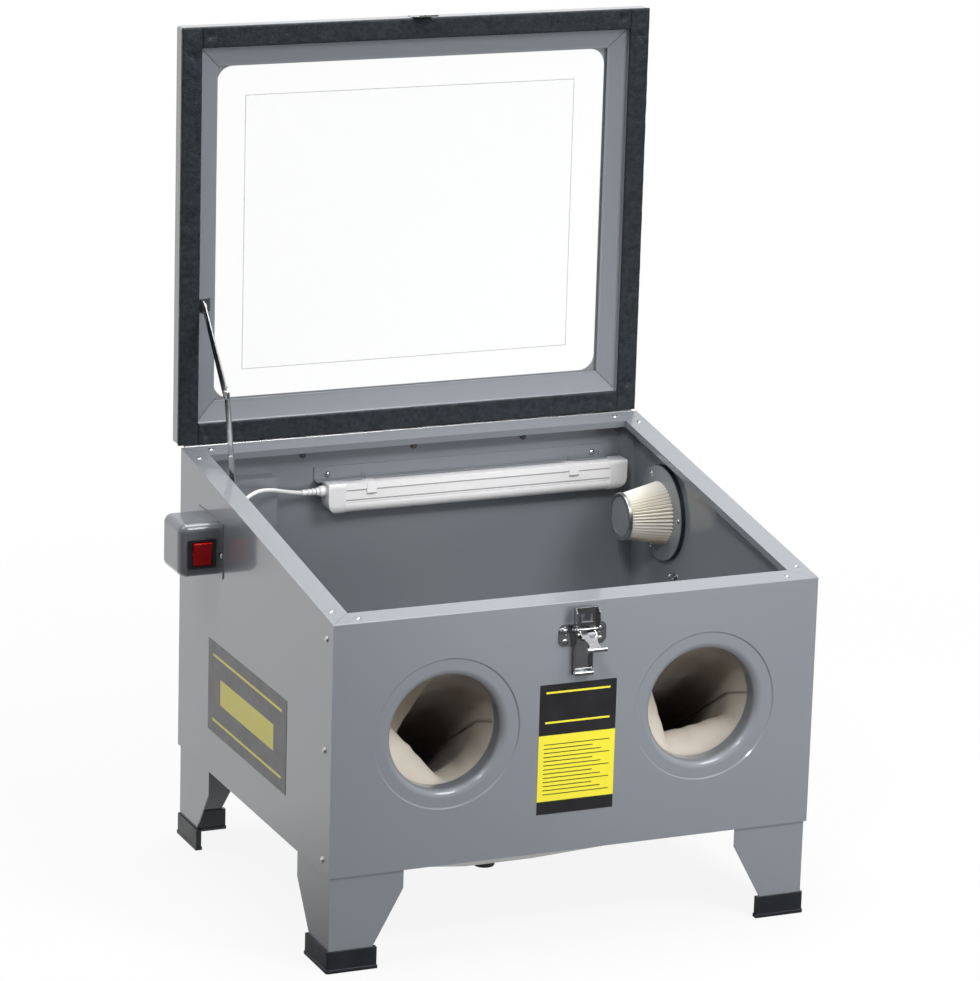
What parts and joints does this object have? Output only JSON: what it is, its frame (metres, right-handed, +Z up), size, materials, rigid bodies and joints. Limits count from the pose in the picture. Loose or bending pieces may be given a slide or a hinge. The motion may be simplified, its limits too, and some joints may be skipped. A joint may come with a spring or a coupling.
{
  "type": "sandblasting cabinet",
  "caption": "Benchtop blasting cabinet: sloping-top grey box on four legs with two glove ports, glazed lid standing open on a folding stay, hopper, lamp and filter outlet.",
  "frame": {"origin": "centre of the bounding box's footprint, at the under side of the feet, with the lid open", "axes": "+X to the right seen from the front, +Y from the front panel to the back, +Z up"},
  "size_m": [0.676, 0.549, 0.9628],
  "materials": {
    "grey_paint": "glossy mid grey powder coat",
    "grate_steel": "plain steel sheet, dull",
    "bright_zinc": "bright zinc plate",
    "zinc_steel": "zinc plated steel",
    "foam": "matt black foam",
    "rubber": "matt dark rubber",
    "canvas": "woven beige cotton",
    "clear_glass": "clear and flat",
    "clear_film": "clear film",
    "label": "printed sticker with plain fields",
    "white_plastic": "glossy white",
    "diffuser": "frosted",
    "lamp_metal": "satin",
    "black_plastic": "fine matt",
    "red_plastic": "glossy red",
    "filter_paper": "cream pleated paper",
    "cap_grey": "matt grey",
    "brass": "turned brass"
  },
  "bodies": {
    "cabinet": {"front_panel": "grey_paint", "left_side_panel": "grey_paint", "right_side_panel": "grey_paint", "back_panel": "grey_paint", "corner_gussets": "grey_paint", "rim_screws": "bright_zinc", "side_screws": "bright_zinc", "hopper": "grey_paint", "work_grate": "grate_steel", "legs": "grey_paint", "rubber_feet": "rubber", "leg_bolts": "zinc_steel", "left_glove": "canvas", "right_glove": "canvas", "port_clamps": "zinc_steel", "front_label": "label", "side_label": "label", "hinge_body_leaf": "zinc_steel", "hinge_pin": "zinc_steel", "hinge_bolts": "bright_zinc", "latch_base": "bright_zinc", "stay_wall_bracket": "bright_zinc", "lamp_housing": "lamp_metal", "lamp_diffuser": "diffuser", "lamp_end_caps": "white_plastic", "lamp_clips": "lamp_metal", "lamp_light_strip": "white_plastic", "lamp_bracket": "grey_paint", "lamp_plug": "white_plastic", "lamp_cord": "white_plastic", "cord_grommet": "rubber", "switch_box": "grey_paint", "switch_body": "black_plastic", "power_supply": "black_plastic", "cable_gland": "black_plastic", "filter_media": "filter_paper", "filter_end_ring": "zinc_steel", "filter_end_cap": "cap_grey", "filter_plate": "zinc_steel", "filter_gasket": "foam", "outlet_spigot": "black_plastic", "air_baffle": "grey_paint", "air_nipple": "brass", "hose_eye": "zinc_steel", "panel_screws": "bright_zinc"},
    "lid": {"lid_shell": "grey_paint", "lid_inner_frame": "grey_paint", "lid_glass": "clear_glass", "lid_film": "clear_film", "lid_gasket": "foam", "hinge_lid_leaf": "zinc_steel", "lid_bolts": "bright_zinc", "lid_catch": "bright_zinc", "stay_lid_bracket": "bright_zinc"},
    "stay_upper": {"stay_upper_link": "bright_zinc"},
    "stay_lower": {"stay_lower_link": "bright_zinc"},
    "lever": {"latch_lever": "bright_zinc"},
    "claw": {"latch_claw": "bright_zinc"},
    "rocker": {"switch_rocker": "red_plastic"},
    "cap": {"outlet_cap": "black_plastic"}
  },
  "joints": [
    {"name": "lid_hinge", "type": "hinge", "parent": "cabinet", "child": "lid", "pos_m": [0, 0.25198, 0.4675], "axis": [1, 0, 0], "range_deg": [0, 98.59]},
    {"name": "stay_lower_pivot", "type": "hinge", "parent": "cabinet", "child": "stay_lower", "pos_m": [-0.26, 0.14888, 0.4033], "axis": [1, 0, 0], "range_deg": [-1, 115]},
    {"name": "stay_upper_pivot", "type": "hinge", "parent": "lid", "child": "stay_upper", "pos_m": [-0.26, 0.25588, 0.6323], "axis": [1, 0, 0], "range_deg": [-109.5, 1]},
    {"name": "latch_lever_pivot", "type": "hinge", "parent": "cabinet", "child": "lever", "pos_m": [0.002, -0.24302, 0.361], "axis": [1, 0, 0], "range_deg": [-30, 70]},
    {"name": "latch_claw_pivot", "type": "hinge", "parent": "lever", "child": "claw", "pos_m": [0.002, -0.24402, 0.3675], "axis": [1, 0, 0], "range_deg": [-95, 42]},
    {"name": "switch_rock", "type": "hinge", "parent": "cabinet", "child": "rocker", "pos_m": [-0.312, 0.11458, 0.3812], "axis": [1, 0, 0], "range_deg": [-18, 0]},
    {"name": "outlet_cap_turn", "type": "hinge", "parent": "cabinet", "child": "cap", "pos_m": [0, 0.00818, 0.02], "axis": [0, 0, 1], "range_deg": [0, 90]}
  ],
  "couplings": [
    {"joint": "stay_lower_pivot", "follows": "lid_hinge", "ratio": 1.1535},
    {"joint": "stay_upper_pivot", "follows": "lid_hinge", "ratio": -1.0974},
    {"joint": "latch_claw_pivot", "follows": "latch_lever_pivot", "ratio": -1.34}
  ]
}
